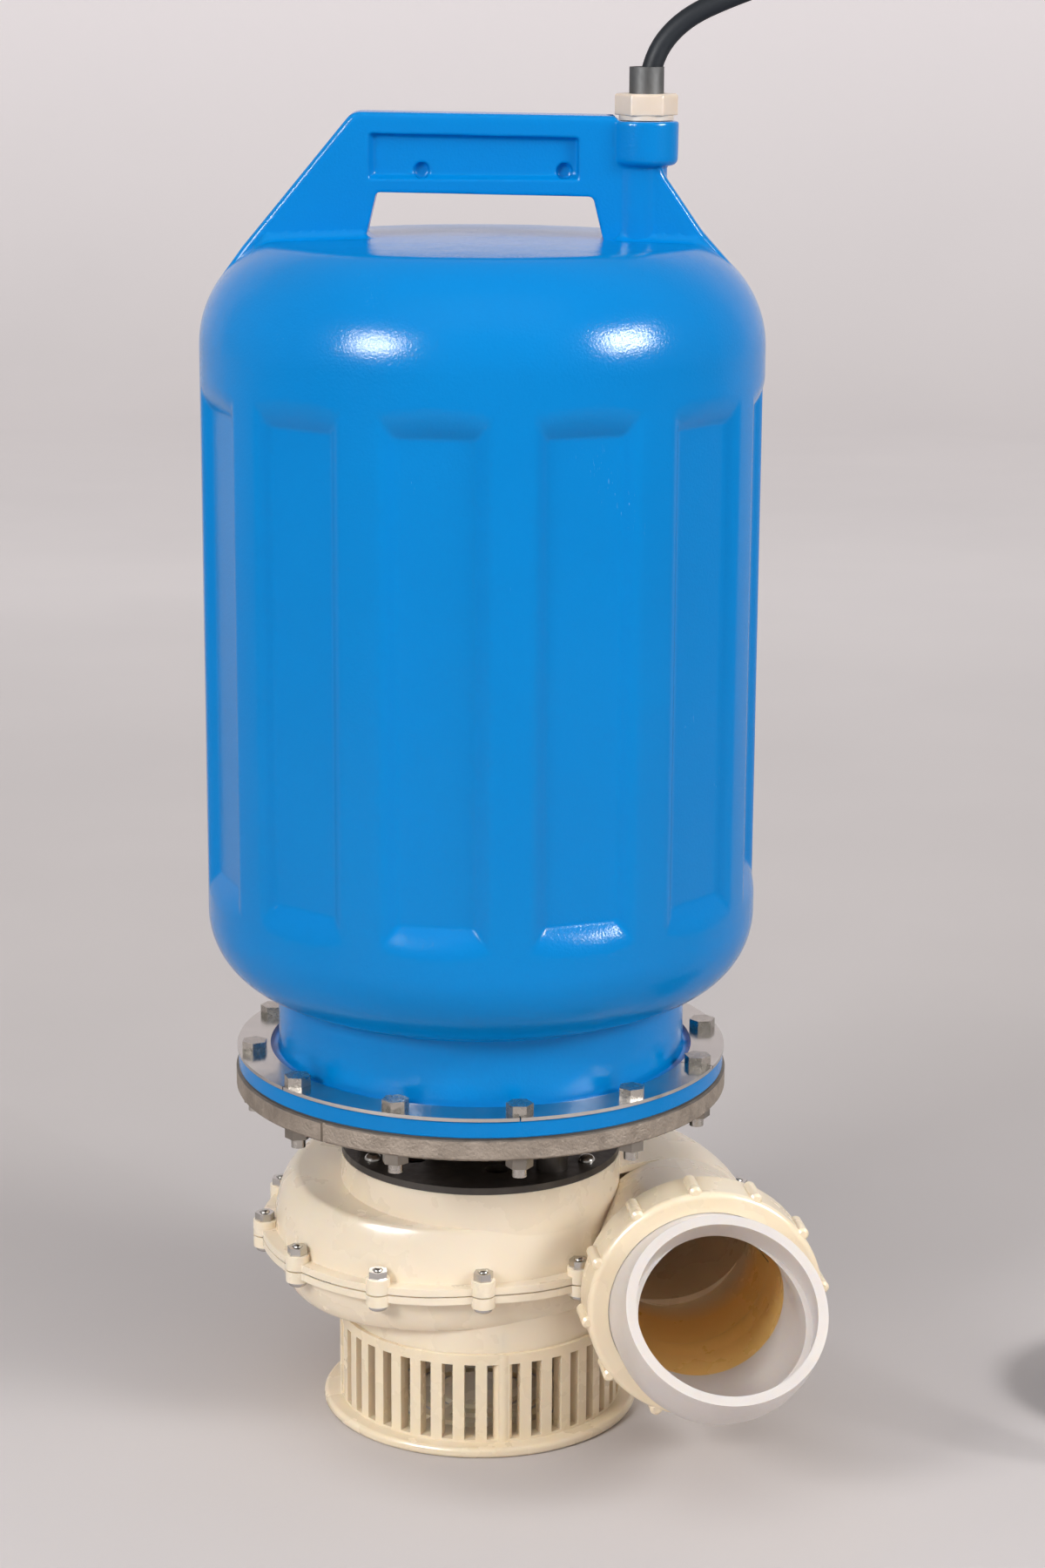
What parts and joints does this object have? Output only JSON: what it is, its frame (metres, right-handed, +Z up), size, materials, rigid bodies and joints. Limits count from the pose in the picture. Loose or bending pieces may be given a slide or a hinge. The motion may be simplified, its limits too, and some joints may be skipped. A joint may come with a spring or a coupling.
{
  "type": "submersible volute water pump",
  "caption": "Submersible pond pump: tall hollow motor housing with a grip on top, spiral casing below, strainer foot, union nut and angled outlet elbow.",
  "frame": {"origin": "centre of the strainer's foot, on the floor and on the pump axis", "axes": "+Z up along the pump axis, -Y towards the side that the outlet faces, +X towards the outlet's side"},
  "size_m": [0.676, 0.3599, 0.8355],
  "materials": {
    "blue_plastic": "glossy moulded blue plastic",
    "cream_plastic": "glossy cream moulded plastic",
    "white_plastic": "slightly translucent white plastic",
    "gland_plastic": "warm white plastic",
    "stainless": "bright stainless steel",
    "cast_aluminium": "rough sand casting",
    "black_iron": "black painted cast iron",
    "steel": "machined steel",
    "lamination": "stacked electrical steel",
    "copper": "enamelled copper wire",
    "rubber": "black rubber",
    "cable_rubber": "dark rubber cable sheath",
    "impeller_plastic": "dark glass-filled plastic",
    "ceramic": "seal ceramic",
    "capacitor_can": "grey capacitor can",
    "terminal_plastic": "black terminal block",
    "brass_pins": "plated brass"
  },
  "bodies": {
    "pump": {"strainer_basket": "cream_plastic", "strainer_screws": "stainless", "lower_volute": "cream_plastic", "volute_gasket": "rubber", "upper_volute": "cream_plastic", "volute_screws": "stainless", "volute_nuts": "stainless", "outlet_gasket": "rubber", "seal_plate": "black_iron", "plate_screws": "stainless", "motor_flange": "cast_aluminium", "bracket_screws": "steel", "flange_gasket": "rubber", "motor_housing": "blue_plastic", "clamp_ring": "stainless", "flange_bolts": "stainless", "flange_nuts": "stainless", "gland_body": "gland_plastic", "gland_nut": "gland_plastic", "cable_bush": "rubber", "motor_frame": "steel", "motor_screws": "steel", "end_shield": "cast_aluminium", "shield_screws": "steel", "stator_core": "lamination", "stator_windings": "copper", "lower_bearing_outer": "steel", "lower_bearing_balls": "steel", "upper_bearing_outer": "steel", "upper_bearing_balls": "steel", "seal_seat": "ceramic", "capacitor": "capacitor_can", "capacitor_clip": "steel", "terminal_block": "terminal_plastic", "inner_lead": "cable_rubber", "power_cable": "cable_rubber", "cable_coil": "cable_rubber", "coil_tie": "rubber", "cable_end": "cable_rubber", "plug_body": "rubber", "plug_pins": "brass_pins"},
    "rotor": {"shaft": "steel", "shaft_key": "steel", "rotor_core": "lamination", "lower_bearing_inner": "steel", "upper_bearing_inner": "steel", "seal_head": "rubber", "impeller": "impeller_plastic", "impeller_nut": "steel"},
    "union_nut": {"union_nut": "cream_plastic"},
    "elbow": {"discharge_elbow": "white_plastic"}
  },
  "joints": [
    {"name": "rotor_spin", "type": "hinge", "parent": "pump", "child": "rotor", "pos_m": [0, 0, 0.3], "axis": [0, 0, 1], "continuous": true},
    {"name": "union_nut_turn", "type": "hinge", "parent": "pump", "child": "union_nut", "pos_m": [0.1251, -0.09111, 0.099], "axis": [0.1392, -0.9903, 0], "continuous": true},
    {"name": "elbow_swivel", "type": "hinge", "parent": "pump", "child": "elbow", "pos_m": [0.12594, -0.09705, 0.099], "axis": [0.1392, -0.9903, 0], "continuous": true}
  ]
}
